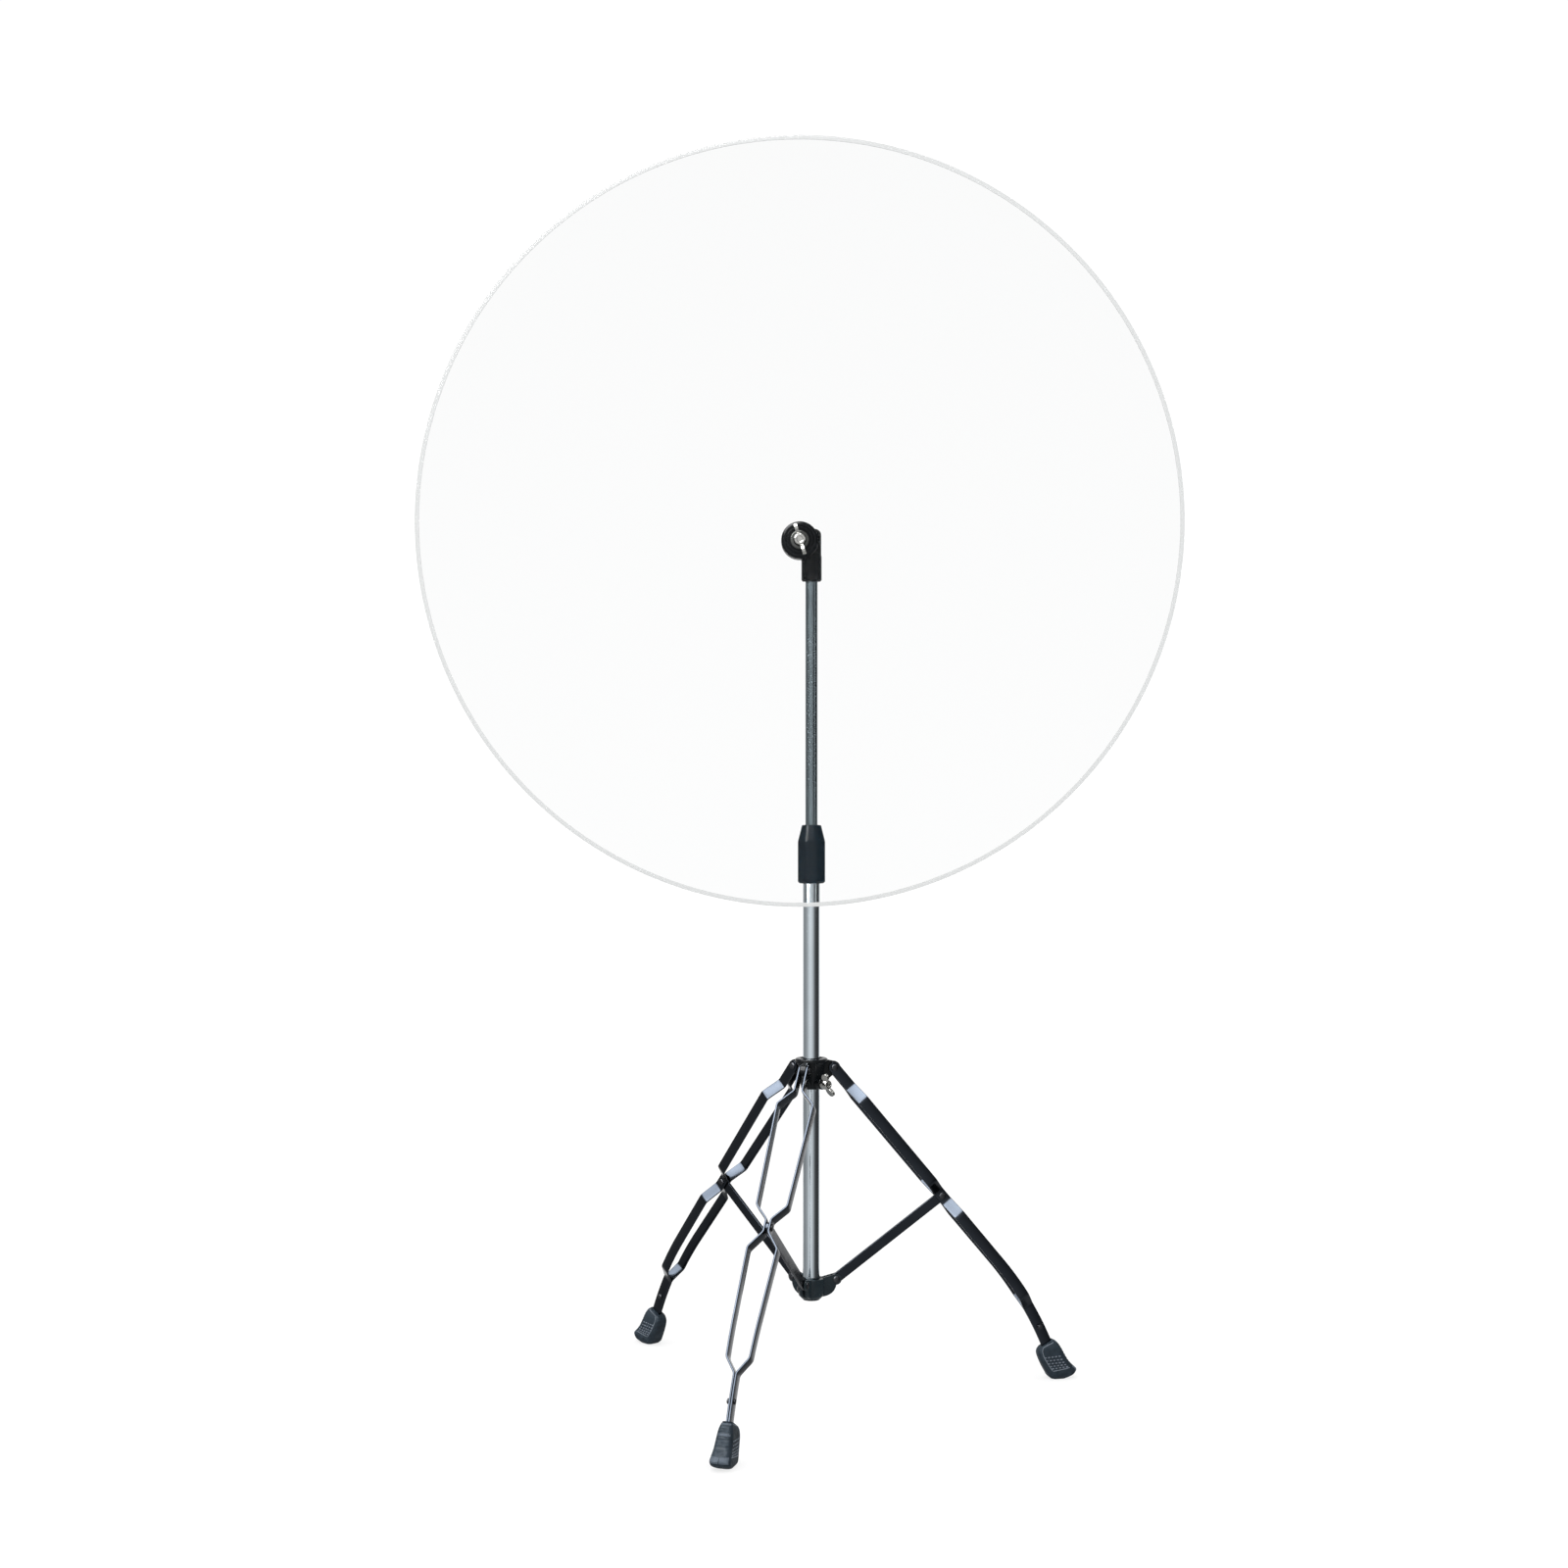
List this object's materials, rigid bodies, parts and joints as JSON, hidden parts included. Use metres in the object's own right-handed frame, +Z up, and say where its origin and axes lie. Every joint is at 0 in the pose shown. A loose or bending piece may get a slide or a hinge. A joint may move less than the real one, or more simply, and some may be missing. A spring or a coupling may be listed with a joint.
{
  "type": "round drum shield on a folding tripod stand",
  "caption": "Clear round acrylic panel clamped by a swivel clutch to a telescopic mast on a folding tripod with bowed double-strap legs and rubber boots.",
  "frame": {"origin": "middle of the whole object's box, on the floor", "axes": "+Z up along the mast, +Y away from the front of the shield, +X to the right seen from the front"},
  "size_m": [1, 0.6268, 1.643],
  "materials": {
    "clear_acrylic": "polished clear sheet with a rounded, polished rim",
    "black_plastic": "moulded, fine satin",
    "pad_rubber": "soft matt",
    "chrome": "bright plate on a cast wing bolt",
    "zinc_steel": "dark zinc plate",
    "nickel_tube": "dark nickel plate",
    "chrome_tube": "bright chrome plate",
    "black_nickel": "glossy black nickel plate on bent flat strap",
    "boot_rubber": "moulded, matt, with a raised grid"
  },
  "bodies": {
    "root": {"base_tube": "chrome_tube", "base_tube_plug": "black_plastic", "height_clamp_collar": "black_plastic", "height_clamp_collet": "black_plastic", "lower_hub": "black_plastic", "lower_hub_pin": "zinc_steel", "right_strut_rivet": "zinc_steel", "rear_strut_rivet": "zinc_steel", "front_strut_rivet": "zinc_steel"},
    "leg_hub_body": {"leg_hub": "black_plastic", "right_leg_hub_rivet": "zinc_steel", "rear_leg_hub_rivet": "zinc_steel", "front_leg_hub_rivet": "zinc_steel"},
    "leg_hub_wing": {"leg_hub_wing_bolt": "chrome"},
    "right_leg": {"right_leg_strap_left": "black_nickel", "right_leg_strap_right": "black_nickel", "right_leg_mid_rivet_left": "zinc_steel", "right_leg_mid_rivet_right": "zinc_steel", "right_leg_foot_screw": "zinc_steel", "right_leg_boot": "boot_rubber"},
    "rear_leg": {"rear_leg_strap_left": "black_nickel", "rear_leg_strap_right": "black_nickel", "rear_leg_mid_rivet_left": "zinc_steel", "rear_leg_mid_rivet_right": "zinc_steel", "rear_leg_foot_screw": "zinc_steel", "rear_leg_boot": "boot_rubber"},
    "front_leg": {"front_leg_strap_left": "black_nickel", "front_leg_strap_right": "black_nickel", "front_leg_mid_rivet_left": "zinc_steel", "front_leg_mid_rivet_right": "zinc_steel", "front_leg_foot_screw": "zinc_steel", "front_leg_boot": "boot_rubber"},
    "right_strut_arm": {"right_strut": "black_nickel"},
    "rear_strut_arm": {"rear_strut": "black_nickel"},
    "front_strut_arm": {"front_strut": "black_nickel"},
    "clamp_nut": {"height_clamp_nut": "black_plastic"},
    "post": {"upper_tube": "nickel_tube"},
    "clutch": {"clutch_body": "black_plastic", "clutch_rear_pad": "pad_rubber", "clutch_front_pad": "pad_rubber", "clutch_cap": "black_plastic", "clutch_washer": "chrome", "clutch_hex_nut": "zinc_steel"},
    "clutch_wing": {"clutch_wing_bolt": "chrome"},
    "shield": {"shield_panel": "clear_acrylic"}
  },
  "joints": [
    {"name": "leg_fold", "type": "slide", "parent": "root", "child": "leg_hub_body", "axis": [0, 0, 1], "range_m": [0, 0.12]},
    {"name": "mast_height", "type": "slide", "parent": "root", "child": "post", "axis": [0, 0, 1], "range_m": [-0.02, 0.14]},
    {"name": "clutch_swivel", "type": "hinge", "parent": "post", "child": "clutch", "pos_m": [0.0156, 0.03567, 1.086], "axis": [0, 0, 1], "continuous": true},
    {"name": "shield_turn", "type": "hinge", "parent": "clutch", "child": "shield", "pos_m": [0, 0.01022, 1.12], "axis": [0, -1, 0], "continuous": true},
    {"name": "clutch_wing_turn", "type": "hinge", "parent": "clutch", "child": "clutch_wing", "pos_m": [0, -0.00963, 1.12], "axis": [0, -1, 0], "continuous": true},
    {"name": "clamp_nut_turn", "type": "hinge", "parent": "root", "child": "clamp_nut", "pos_m": [0.0156, 0.03567, 0.709], "axis": [0, 0, 1], "continuous": true},
    {"name": "leg_hub_wing_turn", "type": "hinge", "parent": "leg_hub_body", "child": "leg_hub_wing", "pos_m": [0.03562, 0.01332, 0.4098], "axis": [0.6672, -0.7449, 0], "continuous": true},
    {"name": "right_leg_pivot", "type": "hinge", "parent": "leg_hub_body", "child": "right_leg", "pos_m": [0.04496, 0.04183, 0.4288], "axis": [-0.2054, 0.9787, 0], "range_deg": [0, 29.74]},
    {"name": "rear_leg_pivot", "type": "hinge", "parent": "leg_hub_body", "child": "rear_leg", "pos_m": [-0.00441, 0.05802, 0.4288], "axis": [-0.7449, -0.6672, 0], "range_deg": [0, 29.74]},
    {"name": "front_leg_pivot", "type": "hinge", "parent": "leg_hub_body", "child": "front_leg", "pos_m": [0.00626, 0.00716, 0.4288], "axis": [0.9502, -0.3115, 0], "range_deg": [0, 29.74]},
    {"name": "right_strut_pivot", "type": "hinge", "parent": "root", "child": "right_strut_arm", "pos_m": [0.0479, 0.04245, 0.148], "axis": [0.2054, -0.9787, 0], "range_deg": [0, 41.86]},
    {"name": "rear_strut_pivot", "type": "hinge", "parent": "root", "child": "rear_strut_arm", "pos_m": [-0.00642, 0.06025, 0.148], "axis": [0.7449, 0.6672, 0], "range_deg": [0, 41.86]},
    {"name": "front_strut_pivot", "type": "hinge", "parent": "root", "child": "front_strut_arm", "pos_m": [0.00532, 0.00431, 0.148], "axis": [-0.9502, 0.3115, 0], "range_deg": [0, 41.86]}
  ],
  "couplings": [
    {"joint": "right_leg_pivot", "follows": "leg_fold", "rad_per_m": 4.3229},
    {"joint": "rear_leg_pivot", "follows": "leg_fold", "rad_per_m": 4.3229},
    {"joint": "front_leg_pivot", "follows": "leg_fold", "rad_per_m": 4.3229},
    {"joint": "right_strut_pivot", "follows": "leg_fold", "rad_per_m": 6.0849},
    {"joint": "rear_strut_pivot", "follows": "leg_fold", "rad_per_m": 6.0849},
    {"joint": "front_strut_pivot", "follows": "leg_fold", "rad_per_m": 6.0849}
  ]
}
